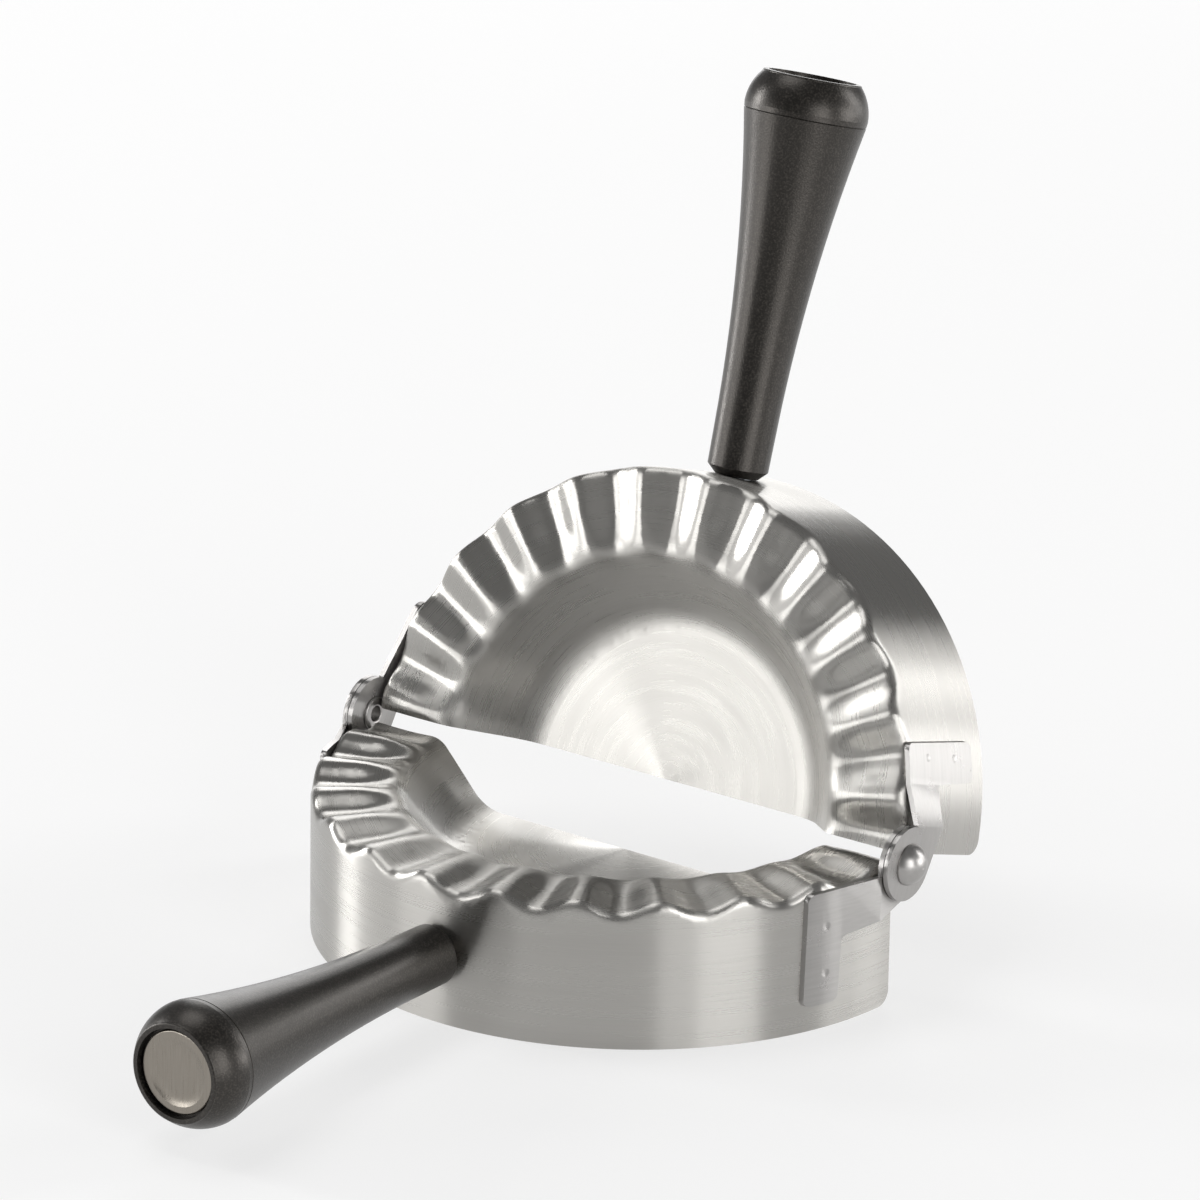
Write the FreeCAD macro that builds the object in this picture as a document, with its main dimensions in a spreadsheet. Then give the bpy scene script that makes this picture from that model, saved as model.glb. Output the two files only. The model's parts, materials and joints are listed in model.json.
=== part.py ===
import FreeCAD, Part
import math
import os

import Sketcher
from FreeCAD import Placement, Rotation, Vector

# A hand press for filled dough: two identical half-moulds of pressed stainless sheet, riveted together at
# both ends of their straight edges. Each half stands on the edge of its skirt, and its handle points away
# from the hinge. Everything of one half is drawn in that half's own frame: the hinge axis lies along X at
# the hinge height, the skirt's circle is centred below it, and the handle points along -Y.

# Driving dimensions, in millimetres and degrees.
SIZES = {
    # shell: skirt, fluted rim and bowl pressed from one sheet
    "skirt_radius": 60.0,
    "sheet_thickness": 0.8,
    "rim_height": 27.4,
    "rim_bend_radius": 1.7,
    "flutes_per_turn": 24,
    "flute_height": 1.05,
    "flute_start_radius": 40.0,
    "flute_full_radius": 53.0,
    "bowl_mouth_radius": 46.0,
    "bowl_depth": 12.0,
    "bowl_wall_angle": 48.0,
    "bowl_floor_fillet": 9.0,
    "bowl_shoulder_fillet": 5.0,
    "straight_edge_setback": 1.35,
    "skirt_corner_radius": 2.9,
    # hinge line and the photographed opening
    "hinge_height": 27.8,
    "hinge_offset": 36.33,
    "opening_angle": 108.4,
    # hinge brackets, stamped from thicker strip and spot-welded to the skirt
    "bracket_thickness": 1.0,
    "strap_far": 22.2,
    "strap_near": 14.9,
    "strap_bottom": 5.2,
    "strap_lean": 0.55,
    "inner_strap_shift": 0.75,
    "outer_strap_shift": -0.67,
    "strap_corner_radius": 1.5,
    "strap_plan_angle": 66.0,
    "ear_radius": 7.0,
    "ear_top_angle": 5.0,
    "ear_flank_angle": 15.0,
    "arm_corner": 7.4,
    "arm_fillet": 1.2,
    "arm_drop": 0.8,
    "inner_ear_face": 61.75,
    "outer_ear_face": 62.9,
    "ear_knee": 7.15,
    "weld_low": 11.3,
    "weld_high": 20.5,
    "weld_angle": 71.8,
    "weld_tip_radius": 3.7,
    "weld_depth": 0.12,
    # hollow rivets
    "rivet_radius": 2.4,
    "rivet_running_gap": 0.05,
    "rivet_head_radius": 3.95,
    "rivet_head_edge": 0.3,
    "rivet_head_height": 3.15,
    "rivet_tail_radius": 3.3,
    "rivet_tail_thickness": 0.6,
    "rivet_tail_round": 0.4,
    "rivet_hole_radius": 1.5,
    "rivet_hole_depth": 1.6,
    # handles
    "handle_height": 12.3,
    "handle_tilt": 1.5,
    "grip_root_gap": 0.16,
    "grip_root_radius": 4.2,
    "grip_chamfer_length": 1.6,
    "grip_neck_radius": 5.81,
    "grip_flare_start": 14.0,
    "grip_flare_start_radius": 5.98,
    "grip_flare_arc": 342.0,
    "grip_length": 68.8,
    "grip_end_radius": 11.64,
    "seam_chamfer": 0.12,
    "stud_bore_radius": 2.6,
    "nut_well_radius": 6.2,
    "nut_well_floor": 48.0,
    "collar_plug_radius": 6.15,
    "collar_plug_wall": 1.5,
    "collar_plug_length": 6.0,
    "collar_crown": 1.1,
    "collar_crown_radius": 11.75,
    "collar_round": 10.0,
    "collar_rim_radius": 9.4,
    "collar_edge_round": 0.35,
    "handle_length": 76.5,
    "disc_well_radius": 8.35,
    "disc_well_depth": 1.8,
    "collar_floor": 1.8,
    "disc_radius": 7.85,
    "disc_edge_height": 0.6,
    "disc_edge_round": 0.4,
    "disc_dish_radius": 6.35,
    "disc_dish_floor_radius": 3.75,
    "disc_dish_depth": 0.46,
    # hidden fixing of each handle
    "stud_radius": 2.5,
    "stud_foot_radius": 3.0,
    "stud_foot_height": 1.2,
    "stud_foot_gap": 0.2,
    "stud_length": 57.0,
    "stud_chamfer": 0.5,
    "washer_radius": 5.5,
    "washer_thickness": 1.0,
    "washer_bore_radius": 2.65,
    "nut_flats": 8.0,
    "nut_height": 4.0,
    "thread_gap": 0.02,
}

# Fineness of the shell's formed surface: columns round the half circle, and the longest steps along its
# section.
SHELL_COLUMNS = 121
SECTION_STEP = 1.4
ARC_STEP_DEG = 9.0

# Heights and reaches that only have to be larger than what they cut, and stock that is cut away again.
BRACKET_BLANK_HEIGHT = 44.0
TRIM_MARGIN = 20.0
CUT_REACH = 10.0
STOCK = 1.0

# A stamped bracket keeps less than this share of its blank.
STAMPED_SHARE = 0.5

# A hexagon's corners stand this angle from the middle of its flats, and a nut's bevel runs in this much
# for each unit that it rises.
HEXAGON_HALF_ANGLE = 30
NUT_BEVEL_RUN = 2.0


class Size:
    """A number together with the sheet expression that gives it."""

    def __init__(self, value, text):
        self.value = value
        self.text = text

    def __add__(self, other):
        other = as_size(other)
        return Size(self.value + other.value, f"({self.text} + {other.text})")

    def __sub__(self, other):
        other = as_size(other)
        return Size(self.value - other.value, f"({self.text} - {other.text})")

    def __mul__(self, other):
        other = as_size(other)
        return Size(self.value * other.value, f"({self.text} * {other.text})")

    def __truediv__(self, other):
        other = as_size(other)
        return Size(self.value / other.value, f"({self.text} / {other.text})")

    def __neg__(self):
        return Size(-self.value, f"(0 - {self.text})")


def as_size(number):
    if isinstance(number, Size):
        return number
    return Size(float(number), repr(float(number)))


def sine(angle):
    return Size(math.sin(math.radians(angle.value)), f"sin({angle.text})")


def cosine(angle):
    return Size(math.cos(math.radians(angle.value)), f"cos({angle.text})")


def tangent(angle):
    return Size(math.tan(math.radians(angle.value)), f"tan({angle.text})")


def root(number):
    return Size(math.sqrt(number.value), f"sqrt({number.text})")


def dome_radius(half_width, rise):
    """Radius of the arc that rises over a half width and is level at the middle."""
    return (half_width * half_width + rise * rise) / (rise * 2)


class SizeSheet:
    """The document's sheet of driving dimensions; each is read as an attribute."""

    def __init__(self, document, numbers):
        self.sheet = document.addObject("Spreadsheet::Sheet", "sizes")
        for row, (alias, number) in enumerate(numbers.items(), start=1):
            self.sheet.set(f"A{row}", str(number))
            self.sheet.setAlias(f"A{row}", alias)
        document.recompute()

    def __getattr__(self, alias):
        return Size(float(self.sheet.get(alias)), f"sizes.{alias}")


doc = FreeCAD.newDocument("dough_press")
size = SizeSheet(doc, SIZES)


def bind(obj, prop, length):
    """Give a property its size and tie it to the sheet."""
    obj.setExpression(prop, as_size(length).text)


def new_body(name):
    body = doc.addObject("PartDesign::Body", name)
    body.Label = name
    return body


def new_sketch(body, role, name):
    """A sketch on one of the body's own origin planes."""
    sketch = body.newObject("Sketcher::SketchObject", name)
    plane = next(f for f in body.Origin.OriginFeatures if f.Role == role)
    sketch.AttachmentSupport = [(plane, "")]
    sketch.MapMode = "FlatFace"
    return sketch


def tie(sketch, name, constraint, length):
    """Add a dimension to a sketch and tie it to the sheet."""
    index = sketch.addConstraint(constraint)
    sketch.renameConstraint(index, name)
    bind(sketch, f"Constraints.{name}", length)


def arc_between(start, end, radius):
    """The short arc from start to end, turning left for a positive radius and right for a negative one."""
    chord = end - start
    left = Vector(-chord.y, chord.x, 0).normalize()
    drop = math.sqrt(radius * radius - chord.Length**2 / 4)
    centre = (start + end) * 0.5 + left * math.copysign(drop, radius)
    first, last = (start, end) if radius > 0 else (end, start)
    angles = [math.atan2(p.y - centre.y, p.x - centre.x) for p in (first, last)]
    if angles[1] < angles[0]:
        angles[1] += 2 * math.pi
    return Part.ArcOfCircle(Part.Circle(centre, Vector(0, 0, 1), abs(radius)), *angles)


def draw_outline(sketch, corners, tag="p"):
    """Draw a closed outline and tie every corner to the sheet.

    A corner is (x, y), or (x, y, radius) where the stretch that leads to it is an arc. A positive radius
    turns left along the way and a negative one turns right.
    """
    corners = [tuple(as_size(v) for v in corner) for corner in corners]
    points = [Vector(c[0].value, c[1].value, 0) for c in corners]
    stretches = []
    for i, corner in enumerate(corners):
        start, end = points[i - 1], points[i]
        if len(corner) == 2:
            index = sketch.addGeometry(Part.LineSegment(start, end))
            stretches.append((index, 1, 2))
        else:
            radius = corner[2].value
            index = sketch.addGeometry(arc_between(start, end, radius))
            stretches.append((index, 1, 2) if radius > 0 else (index, 2, 1))
    for i, (index, tail, head) in enumerate(stretches):
        following, next_tail, _ = stretches[(i + 1) % len(stretches)]
        sketch.addConstraint(Sketcher.Constraint("Coincident", index, head, following, next_tail))
    for i, (index, tail, head) in enumerate(stretches):
        corner = corners[i]
        across = Sketcher.Constraint("DistanceX", -1, 1, index, head, corner[0].value)
        tie(sketch, f"{tag}{i}x", across, corner[0])
        along = Sketcher.Constraint("DistanceY", -1, 1, index, head, corner[1].value)
        tie(sketch, f"{tag}{i}y", along, corner[1])
        if len(corner) == 3:
            bend = corner[2] if corner[2].value > 0 else -corner[2]
            tie(sketch, f"{tag}{i}r", Sketcher.Constraint("Radius", index, bend.value), bend)


def draw_circle(sketch, x, y, radius, tag):
    x, y, radius = as_size(x), as_size(y), as_size(radius)
    circle = Part.Circle(Vector(x.value, y.value, 0), Vector(0, 0, 1), radius.value)
    index = sketch.addGeometry(circle)
    tie(sketch, f"{tag}x", Sketcher.Constraint("DistanceX", -1, 1, index, 3, x.value), x)
    tie(sketch, f"{tag}y", Sketcher.Constraint("DistanceY", -1, 1, index, 3, y.value), y)
    tie(sketch, f"{tag}r", Sketcher.Constraint("Radius", index, radius.value), radius)


def turned(name, corners, axis="V_Axis"):
    """A turned piece: its half section on the XY plane, spun round the sketch's own axis."""
    body = new_body(name)
    sketch = new_sketch(body, "XY_Plane", f"{name}_section")
    draw_outline(sketch, corners)
    spin = body.newObject("PartDesign::Revolution", f"{name}_spin")
    spin.Profile = sketch
    spin.ReferenceAxis = (sketch, [axis])
    spin.Angle = 360
    sketch.Visibility = False
    return body


def shell_section():
    """Points of the shell's top surface from the bowl's floor over the rim to the skirt's edge.

    Each is (radius, height, normal's radial part, normal's upward part).
    """
    wall = math.radians(size.bowl_wall_angle.value)
    depth = size.bowl_depth.value
    floor_fillet = size.bowl_floor_fillet.value
    shoulder = size.bowl_shoulder_fillet.value
    bend = size.rim_bend_radius.value
    top = size.rim_height.value
    wall_length = (depth - (floor_fillet + shoulder) * (1 - math.cos(wall))) / math.sin(wall)
    run = (floor_fillet + shoulder) * math.sin(wall) + wall_length * math.cos(wall)
    points = [(size.bowl_mouth_radius.value - run, top - depth, 0.0, 1.0)]

    def follow_line(length, angle):
        r, z = points[-1][:2]
        steps = math.ceil(length / SECTION_STEP)
        for i in range(1, steps + 1):
            part = length * i / steps
            across, up = math.cos(angle), math.sin(angle)
            points.append((r + part * across, z + part * up, -up, across))

    def follow_arc(radius, start, end):
        r, z = points[-1][:2]
        side = math.copysign(1, end - start)
        centre_r = r - side * radius * math.sin(start)
        centre_z = z + side * radius * math.cos(start)
        steps = math.ceil(math.degrees(abs(end - start)) / ARC_STEP_DEG)
        for i in range(1, steps + 1):
            angle = start + (end - start) * i / steps
            across, up = math.cos(angle), math.sin(angle)
            points.append((centre_r + side * radius * up, centre_z - side * radius * across, -up, across))

    follow_arc(floor_fillet, 0, wall)
    follow_line(wall_length, wall)
    follow_arc(shoulder, wall, 0)
    follow_line(size.skirt_radius.value - bend - points[-1][0], 0)
    follow_arc(bend, 0, -math.pi / 2)
    follow_line(points[-1][1], -math.pi / 2)
    return points


def flute_share(radius, height):
    """How much of the flutes' height shows: none in the bowl, all on the rim, none again down the skirt."""
    start, full = size.flute_start_radius.value, size.flute_full_radius.value
    share = min(1, max(0, (radius - start) / (full - start)))
    fade = min(1, max(0, 2 * height / size.rim_height.value))
    return share * share * (3 - 2 * share) * fade * fade * (3 - 2 * fade)


def spline_through(points, parameters):
    curve = Part.BSplineCurve()
    curve.interpolate(Points=points, Parameters=parameters)
    return curve


def spline_surface(rows, row_parameters, column_parameters):
    """A smooth surface through a grid of points, by splines along the rows and then across them."""
    along = [spline_through(row, column_parameters) for row in rows]
    across = [spline_through(list(line), row_parameters) for line in zip(*(c.getPoles() for c in along))]
    poles = [list(line) for line in zip(*(c.getPoles() for c in across))]
    surface = Part.BSplineSurface()
    surface.buildFromPolesMultsKnots(
        poles, across[0].getMultiplicities(), along[0].getMultiplicities(),
        across[0].getKnots(), along[0].getKnots(), False, False, across[0].Degree, along[0].Degree)
    return surface


def shell_skin(section, depth):
    """One side of the formed sheet, a sheet's depth below its top surface."""
    setback = size.straight_edge_setback.value
    flutes = size.flutes_per_turn.value
    columns = [2 * i / (SHELL_COLUMNS - 1) - 1 for i in range(SHELL_COLUMNS)]
    rows = []
    travel = [0.0]
    for r, z, normal_r, normal_z in section:
        radius = r - depth * normal_r
        lift = size.flute_height.value * flute_share(r, z)
        last_turn = math.acos(setback / radius)
        row = []
        for column in columns:
            turn = last_turn * column
            height = z - depth * normal_z - lift * math.sin(flutes * turn)
            row.append(Vector(radius * math.sin(turn), -radius * math.cos(turn), height))
        rows.append(row)
    for (r0, z0, *_), (r1, z1, *_) in zip(section, section[1:]):
        travel.append(travel[-1] + math.hypot(r1 - r0, z1 - z0))
    return spline_surface(rows, travel, columns)


def shell_solid():
    """The pressed sheet: top skin, under skin, floor of the bowl, skirt edge and the straight edge."""
    section = shell_section()
    thickness = size.sheet_thickness.value
    skins = [shell_skin(section, depth) for depth in (0, thickness)]
    faces = [skin.toShape() for skin in skins]
    floor_edges, skirt_edges, side_edges = [], [], []
    for skin in skins:
        u0, u1, v0, v1 = skin.bounds()
        floor_edges.append(skin.uIso(u0).toShape())
        skirt_edges.append(skin.uIso(u1).toShape())
        side_edges.append([skin.vIso(v).toShape() for v in (v0, v1)])

    def straight(first, second):
        return Part.makeLine(first, second)

    def ends(edge):
        return edge.valueAt(edge.FirstParameter), edge.valueAt(edge.LastParameter)

    floor_lines = [straight(*ends(edge)) for edge in floor_edges]
    for edge, line in zip(floor_edges, floor_lines):
        faces.append(Part.Face(Part.Wire([edge, line])))
    tips = [straight(a, b) for a, b in zip(ends(skirt_edges[0]), ends(skirt_edges[1]))]
    faces.append(Part.Face(Part.Wire([skirt_edges[0], tips[1], skirt_edges[1], tips[0]])))
    border = [side_edges[0][0], floor_lines[0], side_edges[0][1], tips[1],
              side_edges[1][1], floor_lines[1], side_edges[1][0], tips[0]]
    faces.append(Part.Face(Part.Wire(border)))
    shell = Part.Shell(faces)
    shell.sewShape()
    solid = Part.Solid(shell)
    if solid.Volume < 0:
        solid.reverse()
    return solid.cut(skirt_corner_tool())


def skirt_corner_tool():
    """What rounds the two lower corners of the skirt, beside the straight edge."""
    setback = size.straight_edge_setback.value
    radius = size.skirt_corner_radius.value
    reach = size.skirt_radius.value + CUT_REACH
    block = Part.makeBox(2 * reach, radius + CUT_REACH, radius + CUT_REACH,
                         Vector(-reach, -setback - radius, -CUT_REACH))
    along = Vector(1, 0, 0)
    round_bar = Part.makeCylinder(radius, 2 * reach, Vector(-reach, -setback - radius, radius), along)
    return block.cut(round_bar)


def make_shell(name):
    shell = doc.addObject("Part::Feature", name)
    shell.Label = name
    shell.Shape = shell_solid()
    return shell


def bracket_plan(side, ear_face, strap_shift):
    """The bent strip seen from above: strap round the skirt, arm leaning out, ear square to the axis."""
    outer = size.skirt_radius + size.bracket_thickness
    inner = size.skirt_radius
    far = size.strap_plan_angle
    bend_y = -(size.strap_near + strap_shift)
    bend_x = root(outer * outer - bend_y * bend_y)
    knee = -size.ear_knee
    lean = (ear_face - bend_x) / (knee - bend_y)
    half_lean = (root(lean * lean + 1) - 1) / lean
    inner_knee = knee + size.bracket_thickness * half_lean
    tip = size.ear_radius + STOCK
    corners = [
        (outer * sine(far), -(outer * cosine(far))),
        (bend_x, bend_y, outer),
        (ear_face, knee),
        (ear_face, tip),
        (ear_face - size.bracket_thickness, tip),
        (ear_face - size.bracket_thickness, inner_knee),
        (bend_x * inner / outer, bend_y * inner / outer),
        (inner * sine(far), -(inner * cosine(far)), -inner),
    ]
    if side > 0:
        return corners
    return [(-as_size(c[0]), *(c[1:2]), *(-as_size(r) for r in c[2:])) for c in corners]


def bracket_side(strap_shift):
    """The strip's outline seen along the hinge axis: strap, arm and round ear."""
    far, near = -(size.strap_far + strap_shift), -(size.strap_near + strap_shift)
    corner, fillet = size.strap_corner_radius, size.arm_fillet
    bottom, axis, ear = size.strap_bottom, size.hinge_height, size.ear_radius
    top = axis - ear * sine(size.ear_top_angle)
    flank = size.ear_flank_angle
    arm_low = axis - ear / cosine(flank) - size.arm_corner * tangent(flank)
    strap_side = arm_low - size.arm_drop
    far_foot, near_foot = far - size.strap_lean, near - size.strap_lean
    return [
        (far_foot + corner, bottom, corner),
        (near_foot - corner, bottom),
        (near_foot, bottom + corner, corner),
        (near, strap_side - fillet),
        (near + fillet, strap_side, -fillet),
        (-size.arm_corner, arm_low),
        (ear * sine(flank), axis - ear * cosine(flank)),
        (ear, axis, ear),
        (0, axis + ear, ear),
        (-(ear * cosine(size.ear_top_angle)), top, ear),
        (far + corner, top),
        (far, top - corner, corner),
        (far_foot, bottom + corner),
    ]


def make_bracket(name, side, ear_face, strap_shift):
    body = new_body(f"{name}_blank")
    plan = new_sketch(body, "XY_Plane", f"{name}_plan")
    draw_outline(plan, bracket_plan(side, ear_face, strap_shift))
    strip = body.newObject("PartDesign::Pad", f"{name}_strip")
    strip.Profile = plan
    strip.Length = BRACKET_BLANK_HEIGHT
    doc.recompute()
    blank_volume = strip.Shape.Volume
    trim = new_sketch(body, "YZ_Plane", f"{name}_outline")
    reach = size.strap_far + TRIM_MARGIN
    bottom, top = -TRIM_MARGIN, BRACKET_BLANK_HEIGHT + TRIM_MARGIN
    draw_outline(trim, [(-reach, bottom), (reach, bottom), (reach, top), (-reach, top)], "frame")
    draw_outline(trim, bracket_side(strap_shift))
    draw_circle(trim, 0, size.hinge_height, size.rivet_radius + size.rivet_running_gap, "hole")
    stamp = body.newObject("PartDesign::Pocket", f"{name}_stamp")
    stamp.Profile = trim
    stamp.Type = "ThroughAll"
    stamp.Reversed = side > 0
    doc.recompute()
    if stamp.Shape.Volume > STAMPED_SHARE * blank_volume:
        raise RuntimeError(f"{name}: the outline cut away too little")
    welds = doc.addObject("Part::MultiFuse", f"{name}_welds")
    welds.Shapes = [
        weld_tip(f"{name}_low_weld", side, size.weld_low),
        weld_tip(f"{name}_high_weld", side, size.weld_high),
    ]
    bracket = doc.addObject("Part::Cut", name)
    bracket.Label = name
    bracket.Base = body
    bracket.Tool = welds
    return bracket


def weld_tip(name, side, height):
    """The round electrode tip whose print marks a spot weld on the strap."""
    tip = doc.addObject("Part::Sphere", name)
    bind(tip, "Radius", size.weld_tip_radius)
    reach = size.skirt_radius + size.bracket_thickness + size.weld_tip_radius - size.weld_depth
    bind(tip, "Placement.Base.x", reach * sine(size.weld_angle) * side)
    bind(tip, "Placement.Base.y", -(reach * cosine(size.weld_angle)))
    bind(tip, "Placement.Base.z", height)
    return tip


def make_rivet(name):
    """Rivet along +X: hollow tail on the inner ear's inside, shank through both ears, domed head outside."""
    seat = size.inner_ear_face - size.bracket_thickness
    head = size.outer_ear_face + size.rivet_running_gap
    tail = seat - size.rivet_tail_thickness
    fold = size.rivet_tail_round
    rise = size.rivet_head_height - size.rivet_head_edge
    return turned(name, [
        (tail + size.rivet_hole_depth, 0),
        (tail + size.rivet_hole_depth, size.rivet_hole_radius),
        (tail + fold, size.rivet_hole_radius),
        (tail, size.rivet_hole_radius + fold, -fold),
        (tail, size.rivet_tail_radius - fold),
        (tail + fold, size.rivet_tail_radius, -fold),
        (seat, size.rivet_tail_radius),
        (seat, size.rivet_radius),
        (head, size.rivet_radius),
        (head, size.rivet_head_radius),
        (head + size.rivet_head_edge, size.rivet_head_radius),
        (head + size.rivet_head_height, 0, -dome_radius(size.rivet_head_radius, rise)),
    ], "H_Axis")


def make_grip(name):
    """Handle sleeve, with a foot recess at the root and a well for the nut at the flared end."""
    root = size.skirt_radius + size.grip_root_gap
    base = size.skirt_radius
    seam = base + size.grip_length
    recess = size.stud_foot_radius + size.stud_foot_gap
    recess_top = base + size.stud_foot_height + size.stud_foot_gap
    return turned(name, [
        (recess, root),
        (size.grip_root_radius, root),
        (size.grip_neck_radius, root + size.grip_chamfer_length),
        (size.grip_flare_start_radius, base + size.grip_flare_start),
        (size.grip_end_radius, seam - size.seam_chamfer, -size.grip_flare_arc),
        (size.grip_end_radius - size.seam_chamfer, seam),
        (size.nut_well_radius, seam),
        (size.nut_well_radius, base + size.nut_well_floor),
        (size.stud_bore_radius, base + size.nut_well_floor),
        (size.stud_bore_radius, recess_top),
        (recess, recess_top),
    ])


def make_collar(name):
    """Rounded end of the handle: a hollow plug for the grip's well and a shallow well for the steel disc."""
    seam = size.skirt_radius + size.grip_length
    end = size.skirt_radius + size.handle_length
    plug_bore = size.collar_plug_radius - size.collar_plug_wall
    well_floor = end - size.disc_well_depth
    edge = size.collar_edge_round
    return turned(name, [
        (plug_bore, seam - size.collar_plug_length),
        (size.collar_plug_radius, seam - size.collar_plug_length),
        (size.collar_plug_radius, seam),
        (size.grip_end_radius - size.seam_chamfer, seam),
        (size.grip_end_radius, seam + size.seam_chamfer),
        (size.collar_crown_radius, seam + size.collar_crown),
        (size.collar_rim_radius, end - edge, size.collar_round),
        (size.collar_rim_radius - edge, end, edge),
        (size.disc_well_radius, end),
        (size.disc_well_radius, well_floor),
        (0, well_floor),
        (0, well_floor - size.collar_floor),
        (plug_bore, well_floor - size.collar_floor),
    ])


def make_disc(name):
    """Steel disc in the handle's end, round at its edge and dished to a flat floor in the middle."""
    floor = size.skirt_radius + size.handle_length - size.disc_well_depth
    edge = size.disc_edge_round
    rim = floor + size.disc_edge_height + edge
    dish_floor = rim - size.disc_dish_depth
    dish_wall = size.disc_dish_radius - size.disc_dish_floor_radius
    return turned(name, [
        (0, floor),
        (size.disc_radius, floor),
        (size.disc_radius, floor + size.disc_edge_height),
        (size.disc_radius - edge, rim, edge),
        (size.disc_dish_radius, rim),
        (size.disc_dish_floor_radius, dish_floor, -dome_radius(dish_wall, size.disc_dish_depth)),
        (0, dish_floor),
    ])


def make_stud(name):
    """Stud whose foot is hollowed to sit on the skirt, where it is welded."""
    base = size.skirt_radius
    foot_top = base + size.stud_foot_height
    end = base + size.stud_length
    body = turned(name, [
        (0, base - STOCK),
        (size.stud_foot_radius, base - STOCK),
        (size.stud_foot_radius, foot_top),
        (size.stud_radius, foot_top),
        (size.stud_radius, end - size.stud_chamfer),
        (size.stud_radius - size.stud_chamfer, end),
        (0, end),
    ])
    doc.recompute()
    bar_volume = body.Shape.Volume
    sketch = new_sketch(body, "XZ_Plane", f"{name}_hollow")
    sketch.AttachmentOffset = Placement(Vector(), Rotation(Vector(1, 0, 0), -size.handle_tilt.value))
    draw_outline(sketch, [(0, -CUT_REACH), (base, -CUT_REACH), (base, CUT_REACH), (0, CUT_REACH)])
    hollow = body.newObject("PartDesign::Groove", f"{name}_foot")
    hollow.Profile = sketch
    hollow.ReferenceAxis = (sketch, ["V_Axis"])
    hollow.Angle = 360
    doc.recompute()
    if not 0 < hollow.Shape.Volume < bar_volume:
        raise RuntimeError(f"{name}: the foot was not hollowed")
    return body


def make_washer(name):
    floor = size.skirt_radius + size.nut_well_floor
    return turned(name, [
        (size.washer_bore_radius, floor),
        (size.washer_radius, floor),
        (size.washer_radius, floor + size.washer_thickness),
        (size.washer_bore_radius, floor + size.washer_thickness),
    ])


def make_nut(name):
    """Hexagon nut on top of the washer, its corners bevelled."""
    hexagon = doc.addObject("Part::Prism", f"{name}_hexagon")
    hexagon.Polygon = 6
    bind(hexagon, "Circumradius", size.nut_flats / cosine(as_size(HEXAGON_HALF_ANGLE)) / 2)
    bind(hexagon, "Height", size.nut_height)
    bevel = doc.addObject("Part::Cone", f"{name}_bevel")
    bind(bevel, "Radius1", size.nut_flats / 2 + size.nut_height * NUT_BEVEL_RUN)
    bind(bevel, "Radius2", size.nut_flats / 2)
    bind(bevel, "Height", size.nut_height)
    bevelled = doc.addObject("Part::Common", f"{name}_bevelled")
    bevelled.Base = hexagon
    bevelled.Tool = bevel
    thread = doc.addObject("Part::Cylinder", f"{name}_thread")
    bind(thread, "Radius", size.stud_radius + size.thread_gap)
    bind(thread, "Height", size.nut_height)
    nut = doc.addObject("Part::Cut", name)
    nut.Label = name
    nut.Base = bevelled
    nut.Tool = thread
    return nut


def make_half(prefix, place, right, left):
    """All pieces of one half-mould; right and left name the sides on which its +X and -X brackets end up."""
    outwards = Placement(Vector(0, 0, size.handle_height.value), Rotation(Vector(0, 0, 1), 180))
    tilted_up = Placement(Vector(), Rotation(Vector(1, 0, 0), size.handle_tilt.value))
    along_handle = place * outwards * tilted_up
    seat = (size.skirt_radius + size.nut_well_floor + size.washer_thickness).value
    upright_to_handle = Placement(Vector(0, seat, 0), Rotation(Vector(1, 0, 0), -90))
    inner_ear = (1, size.inner_ear_face, size.inner_strap_shift)
    outer_ear = (-1, size.outer_ear_face, size.outer_strap_shift)
    pieces = [
        (make_shell(f"{prefix}_shell"), place),
        (make_bracket(f"{prefix}_{right}_hinge_bracket", *inner_ear), place),
        (make_bracket(f"{prefix}_{left}_hinge_bracket", *outer_ear), place),
        (make_grip(f"{prefix}_grip"), along_handle),
        (make_collar(f"{prefix}_end_collar"), along_handle),
        (make_disc(f"{prefix}_end_disc"), along_handle),
        (make_stud(f"{prefix}_handle_stud"), along_handle),
        (make_washer(f"{prefix}_handle_washer"), along_handle),
        (make_nut(f"{prefix}_handle_nut"), along_handle * upright_to_handle),
    ]
    for piece, where in pieces:
        piece.Placement = where
    return [piece for piece, _ in pieces]


def make_rivets(place):
    """Both rivets, heads outwards; the left one is drawn tight against the lower half's outer ear."""
    right = make_rivet("hinge_rivet_right")
    left = make_rivet("hinge_rivet_left")
    axis = Vector(0, 0, size.hinge_height.value)
    right.Placement = place * Placement(axis, Rotation())
    slack = Vector(size.rivet_running_gap.value, 0, 0)
    left.Placement = place * Placement(axis + slack, Rotation(Vector(0, 0, 1), 180))
    return [right, left]


def build():
    hinge = Vector(0, 0, size.hinge_height.value)
    lower = Placement(Vector(0, size.hinge_offset.value, 0), Rotation())
    swing = Placement(Vector(), Rotation(Vector(1, 0, 0), 180 - size.opening_angle.value), hinge)
    upper = lower * swing * Placement(Vector(), Rotation(Vector(0, 0, 1), 180))
    nodes = make_half("lower", lower, "right", "left")
    nodes += make_half("upper", upper, "left", "right")
    return nodes + make_rivets(lower)


def check(nodes):
    doc.recompute()
    for obj in doc.Objects:
        if {"Invalid", "Error"} & set(obj.State):
            raise RuntimeError(f"{obj.Name} failed: {obj.State}")
    for node in nodes:
        if node.Shape.isNull() or not node.Shape.isValid():
            raise RuntimeError(f"{node.Label} has no valid shape")
        if len(node.Shape.Solids) != 1:
            raise RuntimeError(f"{node.Label} is not one solid")


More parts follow.
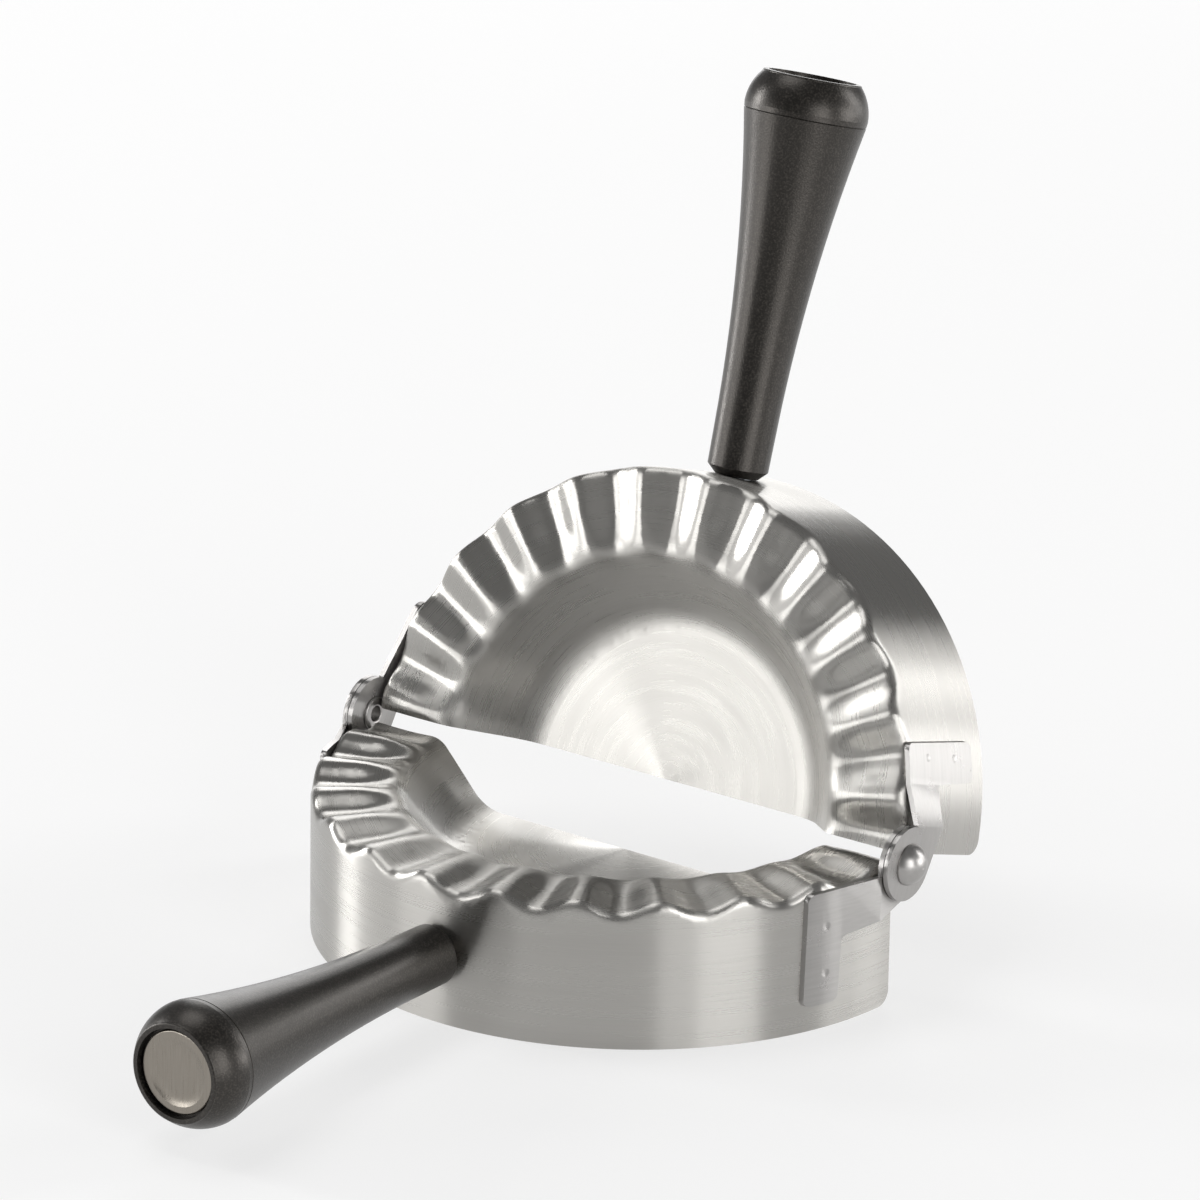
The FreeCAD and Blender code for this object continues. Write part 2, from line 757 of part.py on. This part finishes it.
def write(nodes):
    os.makedirs("parts", exist_ok=True)
    whole = FreeCAD.BoundBox()
    for node in nodes:
        whole.add(node.Shape.optimalBoundingBox())
        node.Shape.exportStep(os.path.join("parts", f"{node.Label}.step"))
        print(f"{node.Label}: {node.Shape.Volume:.1f} mm3")
    print(f"whole: {whole}")


pieces = build()
check(pieces)
write(pieces)
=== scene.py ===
import json
import math

import bmesh
import bpy
from mathutils import Matrix, Vector


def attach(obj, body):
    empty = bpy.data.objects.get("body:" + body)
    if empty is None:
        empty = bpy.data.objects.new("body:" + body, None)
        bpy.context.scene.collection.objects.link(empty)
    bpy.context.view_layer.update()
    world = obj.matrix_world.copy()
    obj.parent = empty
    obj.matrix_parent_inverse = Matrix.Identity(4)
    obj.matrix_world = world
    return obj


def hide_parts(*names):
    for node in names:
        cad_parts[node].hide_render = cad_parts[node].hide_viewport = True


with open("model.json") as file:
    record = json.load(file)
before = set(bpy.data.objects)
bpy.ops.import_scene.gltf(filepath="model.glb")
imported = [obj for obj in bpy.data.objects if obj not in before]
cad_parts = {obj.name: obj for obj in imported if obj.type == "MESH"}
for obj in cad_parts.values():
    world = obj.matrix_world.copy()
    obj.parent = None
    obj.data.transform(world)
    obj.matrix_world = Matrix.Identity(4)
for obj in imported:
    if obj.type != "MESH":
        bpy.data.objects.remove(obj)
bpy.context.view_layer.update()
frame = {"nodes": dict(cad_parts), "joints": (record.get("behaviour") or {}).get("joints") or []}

MM = 0.001

# Each half is described in its own frame: the origin is on the hinge axis between the rivets, Z is the axis of
# the round skirt, and the handle points along -Y.
HINGE = frame["joints"][0]
OPENED = math.radians(180 - HINGE["range_deg"][1])
LOWER_HALF = Matrix.Translation(Vector(HINGE["pos_m"]))
UPPER_HALF = LOWER_HALF @ Matrix.Rotation(OPENED, 4, "X") @ Matrix.Rotation(math.pi, 4, "Z")
HALVES = {"lower": LOWER_HALF, "upper": UPPER_HALF}

SKIRT_RADIUS = 60 * MM
SHEET = 0.8 * MM

# A handle's own frame in its half: Z runs out along the handle, from the axis of the skirt.
HINGE_HEIGHT, HANDLE_HEIGHT = 27.8 * MM, 12.3 * MM
HANDLE_DROP = HINGE_HEIGHT - HANDLE_HEIGHT
HANDLE_TILT = math.radians(1.5)
HANDLE = (Matrix.Translation(Vector((0, 0, -HANDLE_DROP)))
          @ Matrix.Rotation(math.pi / 2 - HANDLE_TILT, 4, "X"))


def linear(hex_colour):
    """Linear RGBA of an sRGB hex colour."""
    parts = [int(hex_colour[i:i + 2], 16) / 255 for i in (1, 3, 5)]
    return [c / 12.92 if c <= 0.04045 else ((c + 0.055) / 1.055) ** 2.4 for c in parts] + [1.0]


def add(tree, kind, settings, links):
    """Adds a node. A setting is a property or a socket's own value; a link feeds a socket from an output."""
    node = tree.nodes.new(kind)
    for key, value in settings.items():
        if isinstance(key, str) and hasattr(node, key):
            setattr(node, key, value)
        else:
            node.inputs[key].default_value = value
    for key, output in links.items():
        tree.links.new(output, node.inputs[key])
    return node


def new_material(name):
    material = bpy.data.materials.new(name)
    material.use_nodes = True
    material.node_tree.nodes.clear()
    return material, material.node_tree


def in_frame(tree, place):
    """Adds nodes that give the position in a piece's own frame."""
    to_piece = place.inverted()
    position = add(tree, "ShaderNodeTexCoord", {}, {}).outputs["Object"]
    return add(tree, "ShaderNodeMapping", {
        "Location": to_piece.to_translation(), "Rotation": to_piece.to_euler(),
    }, {"Vector": position}).outputs["Vector"]


def rolled_out(tree, local):
    """Adds nodes that roll a position round Z out into arc length, distance from Z and height, in metres. Inside
    the skirt the height is left out, so that brush lines run on over the flutes."""
    flat = add(tree, "ShaderNodeVectorMath", {"operation": "MULTIPLY", 1: (1, 1, 0)}, {0: local}).outputs["Vector"]
    radius = add(tree, "ShaderNodeVectorMath", {"operation": "LENGTH"}, {0: flat}).outputs["Value"]
    split = add(tree, "ShaderNodeSeparateXYZ", {}, {"Vector": local}).outputs
    ahead = add(tree, "ShaderNodeMath", {"operation": "MULTIPLY", 1: -1.0}, {0: split["Y"]}).outputs["Value"]
    angle = add(tree, "ShaderNodeMath", {"operation": "ARCTAN2"}, {0: split["X"], 1: ahead}).outputs["Value"]
    arc = add(tree, "ShaderNodeMath", {"operation": "MULTIPLY", 1: SKIRT_RADIUS}, {0: angle}).outputs["Value"]
    on_skirt = add(tree, "ShaderNodeMapRange", {
        "From Min": SKIRT_RADIUS - 2 * SHEET, "From Max": SKIRT_RADIUS - SHEET,
    }, {"Value": radius}).outputs["Result"]
    height = add(tree, "ShaderNodeMath", {"operation": "MULTIPLY"}, {0: split["Z"], 1: on_skirt}).outputs["Value"]
    return add(tree, "ShaderNodeCombineXYZ", {}, {"X": arc, "Y": radius, "Z": height}).outputs["Vector"]


def to_world(tree, direction):
    return add(tree, "ShaderNodeVectorTransform", {
        "vector_type": "VECTOR", "convert_from": "OBJECT", "convert_to": "WORLD",
    }, {"Vector": direction}).outputs["Vector"]


def round_axis(tree, place):
    """Adds nodes that give the direction in which a tool runs round the Z axis of a piece's frame."""
    position = add(tree, "ShaderNodeTexCoord", {}, {}).outputs["Object"]
    centred = add(tree, "ShaderNodeVectorMath", {"operation": "SUBTRACT", 1: place.to_translation()}, {
        0: position,
    }).outputs["Vector"]
    axis = place.to_3x3() @ Vector((0, 0, 1))
    around = add(tree, "ShaderNodeVectorMath", {"operation": "CROSS_PRODUCT", 0: axis}, {1: centred})
    return to_world(tree, around.outputs["Vector"])


def streaks(tree, position, length, spacing, detail):
    """Adds a noise stretched along X into streaks of a length and spacing in millimetres."""
    stretched = add(tree, "ShaderNodeVectorMath", {
        "operation": "MULTIPLY", 1: (1 / (length * MM), 1 / (spacing * MM), 1 / (spacing * MM)),
    }, {0: position}).outputs["Vector"]
    return add(tree, "ShaderNodeTexNoise", {"Scale": 1.0, "Detail": detail}, {"Vector": stretched}).outputs["Fac"]


def brushed_stainless(name, place):
    """Stainless sheet, pressed and then brushed round the skirt: a light grey whose reflections stay sharp along
    the brush lines and smear across them."""
    material, tree = new_material(name)
    rolled = rolled_out(tree, in_frame(tree, place))
    # Brush lines are 0.05 to 0.1 mm apart, too fine to show, so they are drawn 0.25 mm apart and 25 mm long. The
    # passes of the brush differ over a few millimetres.
    lines = streaks(tree, rolled, 25, 0.25, 2.0)
    passes = streaks(tree, rolled, 60, 2.2, 3.0)
    both = add(tree, "ShaderNodeMath", {"operation": "MULTIPLY"}, {0: lines, 1: passes}).outputs["Value"]
    roughness = add(tree, "ShaderNodeMapRange", {
        "From Min": 0.12, "From Max": 0.4, "To Min": 0.265, "To Max": 0.3,
    }, {"Value": both}).outputs["Result"]
    colour = add(tree, "ShaderNodeMix", {
        "data_type": "RGBA", "A": linear("#aeaca8"), "B": linear("#b8b6b2"),
    }, {"Factor": lines}).outputs[2]
    relief = add(tree, "ShaderNodeBump", {"Strength": 1.0, "Distance": 0.0007 * MM}, {"Height": lines})
    surface = add(tree, "ShaderNodeBsdfPrincipled", {
        "Metallic": 1.0, "Anisotropic": 1.0, "Anisotropic Rotation": 0.25,
    }, {
        "Base Color": colour, "Roughness": roughness, "Normal": relief.outputs["Normal"],
        "Tangent": round_axis(tree, place),
    })
    add(tree, "ShaderNodeOutputMaterial", {}, {"Surface": surface.outputs["BSDF"]})
    return material


def satin_stainless(name, place):
    """Stainless strip with a rolled satin face, stamped and bent: an even soft grey with faint grain lines along
    the strip."""
    material, tree = new_material(name)
    local = in_frame(tree, place)
    # Mill grain is about 0.05 mm wide, drawn 0.4 mm wide so that it shows.
    grain = streaks(tree, rolled_out(tree, local), 9, 0.4, 3.0)
    # The rolled face clouds over about 5 mm.
    cloud = add(tree, "ShaderNodeTexNoise", {"Scale": 1 / (5 * MM), "Detail": 3.0}, {
        "Vector": local,
    }).outputs["Fac"]
    roughness = add(tree, "ShaderNodeMapRange", {
        "From Min": 0.3, "From Max": 0.7, "To Min": 0.26, "To Max": 0.33,
    }, {"Value": cloud}).outputs["Result"]
    colour = add(tree, "ShaderNodeMix", {
        "data_type": "RGBA", "A": linear("#a3a19f"), "B": linear("#b3b1af"),
    }, {"Factor": grain}).outputs[2]
    relief = add(tree, "ShaderNodeBump", {"Strength": 1.0, "Distance": 0.004 * MM}, {"Height": grain})
    surface = add(tree, "ShaderNodeBsdfPrincipled", {
        "Metallic": 1.0, "Anisotropic": 1.0, "Anisotropic Rotation": 0.25,
    }, {
        "Base Color": colour, "Roughness": roughness, "Normal": relief.outputs["Normal"],
        "Tangent": round_axis(tree, place),
    })
    add(tree, "ShaderNodeOutputMaterial", {}, {"Surface": surface.outputs["BSDF"]})
    return material


def polished_stainless(name):
    """Stainless rivet with a tumbled, polished head: soft bright reflections, clouded by small scuffs."""
    material, tree = new_material(name)
    position = add(tree, "ShaderNodeTexCoord", {}, {}).outputs["Object"]
    # Tumbling leaves scuffs of about 0.8 mm.
    scuffs = add(tree, "ShaderNodeTexNoise", {"Scale": 1 / (0.8 * MM), "Detail": 4.0}, {
        "Vector": position,
    }).outputs["Fac"]
    roughness = add(tree, "ShaderNodeMapRange", {
        "From Min": 0.3, "From Max": 0.7, "To Min": 0.3, "To Max": 0.38,
    }, {"Value": scuffs}).outputs["Result"]
    colour = add(tree, "ShaderNodeMix", {
        "data_type": "RGBA", "A": linear("#9b9997"), "B": linear("#aba9a7"),
    }, {"Factor": scuffs}).outputs[2]
    relief = add(tree, "ShaderNodeBump", {"Strength": 1.0, "Distance": 0.003 * MM}, {"Height": scuffs})
    surface = add(tree, "ShaderNodeBsdfPrincipled", {"Metallic": 1.0}, {
        "Base Color": colour, "Roughness": roughness, "Normal": relief.outputs["Normal"],
    })
    add(tree, "ShaderNodeOutputMaterial", {}, {"Surface": surface.outputs["BSDF"]})
    return material


def straight_brushed_stainless(name, place):
    """Stainless disc brushed straight across before it was dished: a slightly warm grey with fine upright
    lines."""
    material, tree = new_material(name)
    local = in_frame(tree, place)
    upright = add(tree, "ShaderNodeMapping", {"Rotation": (0, 0, math.pi / 2)}, {
        "Vector": local,
    }).outputs["Vector"]
    # Brush lines drawn 0.3 mm apart, a few times coarser than they are, so that they show.
    lines = streaks(tree, upright, 6, 0.3, 2.0)
    roughness = add(tree, "ShaderNodeMapRange", {
        "From Min": 0.3, "From Max": 0.7, "To Min": 0.26, "To Max": 0.36,
    }, {"Value": lines}).outputs["Result"]
    colour = add(tree, "ShaderNodeMix", {
        "data_type": "RGBA", "A": linear("#837d74"), "B": linear("#98928a"),
    }, {"Factor": lines}).outputs[2]
    relief = add(tree, "ShaderNodeBump", {"Strength": 1.0, "Distance": 0.004 * MM}, {"Height": lines})
    along = place.to_3x3() @ Vector((0, 1, 0))
    tangent = to_world(tree, add(tree, "ShaderNodeCombineXYZ", dict(zip("XYZ", along)), {}).outputs["Vector"])
    surface = add(tree, "ShaderNodeBsdfPrincipled", {
        "Metallic": 1.0, "Anisotropic": 0.6, "Anisotropic Rotation": 0.25,
    }, {
        "Base Color": colour, "Roughness": roughness, "Normal": relief.outputs["Normal"], "Tangent": tangent,
    })
    add(tree, "ShaderNodeOutputMaterial", {}, {"Surface": surface.outputs["BSDF"]})
    return material


def zinc_plated_steel(name):
    """Bright zinc-plated steel of the hidden fixings: a bluish grey, mottled over a millimetre or two."""
    material, tree = new_material(name)
    position = add(tree, "ShaderNodeTexCoord", {}, {}).outputs["Object"]
    mottle = add(tree, "ShaderNodeTexNoise", {"Scale": 1 / (1.5 * MM), "Detail": 3.0}, {
        "Vector": position,
    }).outputs["Fac"]
    roughness = add(tree, "ShaderNodeMapRange", {
        "From Min": 0.3, "From Max": 0.7, "To Min": 0.28, "To Max": 0.42,
    }, {"Value": mottle}).outputs["Result"]
    colour = add(tree, "ShaderNodeMix", {
        "data_type": "RGBA", "A": linear("#aeb2b6"), "B": linear("#c2c5c8"),
    }, {"Factor": mottle}).outputs[2]
    surface = add(tree, "ShaderNodeBsdfPrincipled", {"Metallic": 1.0}, {
        "Base Color": colour, "Roughness": roughness,
    })
    add(tree, "ShaderNodeOutputMaterial", {}, {"Surface": surface.outputs["BSDF"]})
    return material


def black_nylon(name):
    """Glass-filled nylon moulded in a spark-eroded tool: a satin black with a fine sandy grain that breaks up
    its highlights into specks."""
    material, tree = new_material(name)
    position = add(tree, "ShaderNodeTexCoord", {}, {}).outputs["Object"]
    # The grains are 0.2 to 0.3 mm across, drawn as a noise of 0.35 mm so that they show, and the finish drifts
    # over a few millimetres. The tips of the grains are painted paler, as painted glints of light on the grain.
    grain = add(tree, "ShaderNodeTexNoise", {"Scale": 1 / (0.35 * MM), "Detail": 1.0}, {
        "Vector": position,
    }).outputs["Fac"]
    cloud = add(tree, "ShaderNodeTexNoise", {"Scale": 1 / (3 * MM), "Detail": 3.0}, {
        "Vector": position,
    }).outputs["Fac"]
    relief = add(tree, "ShaderNodeBump", {"Strength": 1.0, "Distance": 0.03 * MM}, {"Height": grain})
    roughness = add(tree, "ShaderNodeMapRange", {
        "From Min": 0.3, "From Max": 0.7, "To Min": 0.31, "To Max": 0.35,
    }, {"Value": cloud}).outputs["Result"]
    # Painted highlight: the grain's tips get a paler colour so that they read as glinting specks.
    painted_glints = add(tree, "ShaderNodeMapRange", {"From Min": 0.45, "From Max": 0.75}, {
        "Value": grain,
    }).outputs["Result"]
    colour = add(tree, "ShaderNodeMix", {
        "data_type": "RGBA", "A": linear("#080807"), "B": linear("#33302d"),
    }, {"Factor": painted_glints}).outputs[2]
    surface = add(tree, "ShaderNodeBsdfPrincipled", {
        "Specular IOR Level": 0.55, "Specular Tint": (1.0, 0.93, 0.86, 1.0),
    }, {
        "Base Color": colour, "Roughness": roughness, "Normal": relief.outputs["Normal"],
    })
    add(tree, "ShaderNodeOutputMaterial", {}, {"Surface": surface.outputs["BSDF"]})
    return material


def dress(node, material):
    """Gives a CAD node a finish."""
    frame["nodes"][node].data.materials.clear()
    frame["nodes"][node].data.materials.append(material)


MERGE_DISTANCE = 0.0005 * MM
FLAT_ANGLE = math.radians(0.5)
SHARP_ANGLE = math.radians(35)
STAMPED_ROUNDING = 0.15 * MM


def eased(node, body, material, width):
    """Replaces a CAD node by a copy whose sharp edges are rounded, as stamping and tumbling leave them."""
    shape = bmesh.new()
    shape.from_mesh(frame["nodes"][node].data)
    bmesh.ops.remove_doubles(shape, verts=shape.verts, dist=MERGE_DISTANCE)
    bmesh.ops.dissolve_limit(
        shape, angle_limit=FLAT_ANGLE, verts=shape.verts, edges=shape.edges, use_dissolve_boundaries=False)
    mesh = bpy.data.meshes.new(f"eased_{node}")
    shape.to_mesh(mesh)
    shape.free()
    mesh.materials.clear()
    mesh.materials.append(material)
    mesh.shade_smooth()
    piece = bpy.data.objects.new(f"eased_{node}", mesh)
    bpy.context.scene.collection.objects.link(piece)
    rounding = piece.modifiers.new("rounded_edges", "BEVEL")
    rounding.width = width
    rounding.segments = 2
    rounding.limit_method = "ANGLE"
    rounding.angle_limit = SHARP_ANGLE
    normals = piece.modifiers.new("flat_faces", "WEIGHTED_NORMAL")
    normals.weight = 100
    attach(piece, body)
    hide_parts(node)


nylon = black_nylon("black_glass_filled_nylon")
zinc = zinc_plated_steel("zinc_plated_steel")
for half, place in HALVES.items():
    dress(f"{half}_shell", brushed_stainless(f"brushed_stainless_{half}", place))
    satin = satin_stainless(f"satin_stainless_{half}", place)
    for side in ("right", "left"):
        eased(f"{half}_{side}_hinge_bracket", f"{half}_half", satin, STAMPED_ROUNDING)
    dress(f"{half}_end_disc", straight_brushed_stainless(f"straight_brushed_stainless_{half}", place @ HANDLE))
    for piece in ("grip", "end_collar"):
        dress(f"{half}_{piece}", nylon)
    for piece in ("handle_stud", "handle_washer", "handle_nut"):
        dress(f"{half}_{piece}", zinc)
polished = polished_stainless("polished_stainless")
for rivet in ("hinge_rivet_right", "hinge_rivet_left"):
    dress(rivet, polished)


FLOOR_RADIUS = 6.0
# The floor's own share of what the camera and the metal see; the rest is plain white.
FLOOR_SHADE = 0.38
ROOM_BRIGHTNESS = 0.22


def pale_floor():
    shape = bmesh.new()
    bmesh.ops.create_circle(shape, cap_ends=True, segments=128, radius=FLOOR_RADIUS)
    mesh = bpy.data.meshes.new("floor")
    shape.to_mesh(mesh)
    shape.free()
    floor = bpy.data.objects.new("floor", mesh)
    bpy.context.scene.collection.objects.link(floor)
    material, tree = new_material("white_paper")
    rays = add(tree, "ShaderNodeLightPath", {}, {}).outputs
    seen = add(tree, "ShaderNodeMath", {"operation": "MAXIMUM"}, {
        0: rays["Is Camera Ray"], 1: rays["Is Glossy Ray"],
    }).outputs["Value"]
    seen = add(tree, "ShaderNodeMath", {"operation": "MAXIMUM"}, {
        0: seen, 1: rays["Is Transmission Ray"],
    }).outputs["Value"]
    share = add(tree, "ShaderNodeMath", {"operation": "MULTIPLY", 1: 1 - FLOOR_SHADE}, {
        0: seen,
    }).outputs["Value"]
    paper = add(tree, "ShaderNodeBsdfDiffuse", {"Color": linear("#fafafa")}, {})
    glow = add(tree, "ShaderNodeEmission", {"Color": (1, 1, 1, 1), "Strength": 1.0}, {})
    mixed = add(tree, "ShaderNodeMixShader", {}, {
        "Fac": share, 1: paper.outputs["BSDF"], 2: glow.outputs["Emission"],
    })
    add(tree, "ShaderNodeOutputMaterial", {}, {"Surface": mixed.outputs["Shader"]})
    mesh.materials.append(material)


def studio_world():
    world = bpy.data.worlds.new("studio")
    bpy.context.scene.world = world
    world.use_nodes = True
    tree = world.node_tree
    tree.nodes.clear()
    background = add(tree, "ShaderNodeBackground", {"Color": (1, 1, 1, 1), "Strength": ROOM_BRIGHTNESS}, {})
    add(tree, "ShaderNodeOutputWorld", {}, {"Surface": background.outputs["Background"]})


def lamp(name, place, wide, tall, brightness):
    """An area light whose face has a brightness, where 1 is white."""
    light = bpy.data.lights.new(name, "AREA")
    light.shape = "RECTANGLE"
    light.size, light.size_y = wide, tall
    light.energy = brightness * math.pi * wide * tall
    holder = bpy.data.objects.new(name, light)
    holder.matrix_world = place
    holder.visible_camera = False
    bpy.context.scene.collection.objects.link(holder)


PANEL_DISTANCE = 1.1
# Turn and spread in degrees, lower and upper edge in metres, and brightness.
PANELS = {
    "left_strip": (-78.5, 11, 0.0, 0.6, 16.0),
    "left_low_panel": (-60, 20, 0.0, 0.45, 1.8),
    "front_low_panel": (-40, 20, 0.0, 0.35, 5.0),
    "back_left_panel": (-147, 30, 0.0, 0.35, 2.2),
    "back_left_high_panel": (-147, 30, 0.35, 0.9, 2.6),
    "back_right_near_panel": (113, 12, 0.0, 0.5, 4.0),
    "back_right_panel": (126, 13, 0.0, 0.35, 5.8),
    "back_right_far_panel": (140, 15, 0.0, 0.3, 2.2),
    "back_right_high_panel": (145, 18, 0.3, 0.8, 5.2),
    "back_panel": (155, 14, 0.0, 0.3, 2.6),
    "right_panel": (72, 22, 0.0, 0.8, 4.2),
    "right_dim_panel": (54, 14, 0.0, 0.8, 2.0),
}
OVERHEAD = Matrix.Translation(Vector((-0.5, 0, 1.4)))
OVERHEAD_SIDE, OVERHEAD_BRIGHTNESS = 0.8, 2.4


def panel(name, turn, spread, low, high, brightness):
    """An upright light beside the object. Its turn and spread are degrees round the object, from -Y towards +X."""
    wide = 2 * PANEL_DISTANCE * math.tan(math.radians(spread) / 2)
    round_object = Matrix.Rotation(math.radians(turn), 4, "Z")
    upright = Matrix.Rotation(math.pi / 2, 4, "X")
    place = round_object @ Matrix.Translation(Vector((0, -PANEL_DISTANCE, (low + high) / 2))) @ upright
    lamp(name, place, wide, high - low, brightness)


# The camera stands where the photograph was taken from, with a long lens.
AIM = Vector((-5.2, 32.6, 64.8)) * MM
VIEW_TURN, VIEW_HEIGHT, VIEW_ROLL = math.radians(35.797), math.radians(20.387), math.radians(0.936)
VIEW_DISTANCE = 1574.5 * MM
LENS, SENSOR = 254.28, 36.0


def photo_camera():
    back = Vector((
        math.sin(VIEW_TURN) * math.cos(VIEW_HEIGHT),
        -math.cos(VIEW_TURN) * math.cos(VIEW_HEIGHT),
        math.sin(VIEW_HEIGHT),
    ))
    level = Vector((math.cos(VIEW_TURN), math.sin(VIEW_TURN), 0))
    upright = back.cross(level)
    right = level * math.cos(VIEW_ROLL) + upright * math.sin(VIEW_ROLL)
    up = back.cross(right)
    lens = bpy.data.cameras.new("photo_camera")
    lens.lens, lens.sensor_width = LENS, SENSOR
    camera = bpy.data.objects.new("photo_camera", lens)
    turn = Matrix((right, up, back)).transposed().to_4x4()
    camera.matrix_world = Matrix.Translation(AIM + back * VIEW_DISTANCE) @ turn
    bpy.context.scene.collection.objects.link(camera)
    bpy.context.scene.camera = camera


photo_camera()
pale_floor()
studio_world()
for name, measures in PANELS.items():
    panel(name, *measures)
lamp("overhead", OVERHEAD, OVERHEAD_SIDE, OVERHEAD_SIDE, OVERHEAD_BRIGHTNESS)
bpy.context.scene.view_settings.view_transform = "Standard"
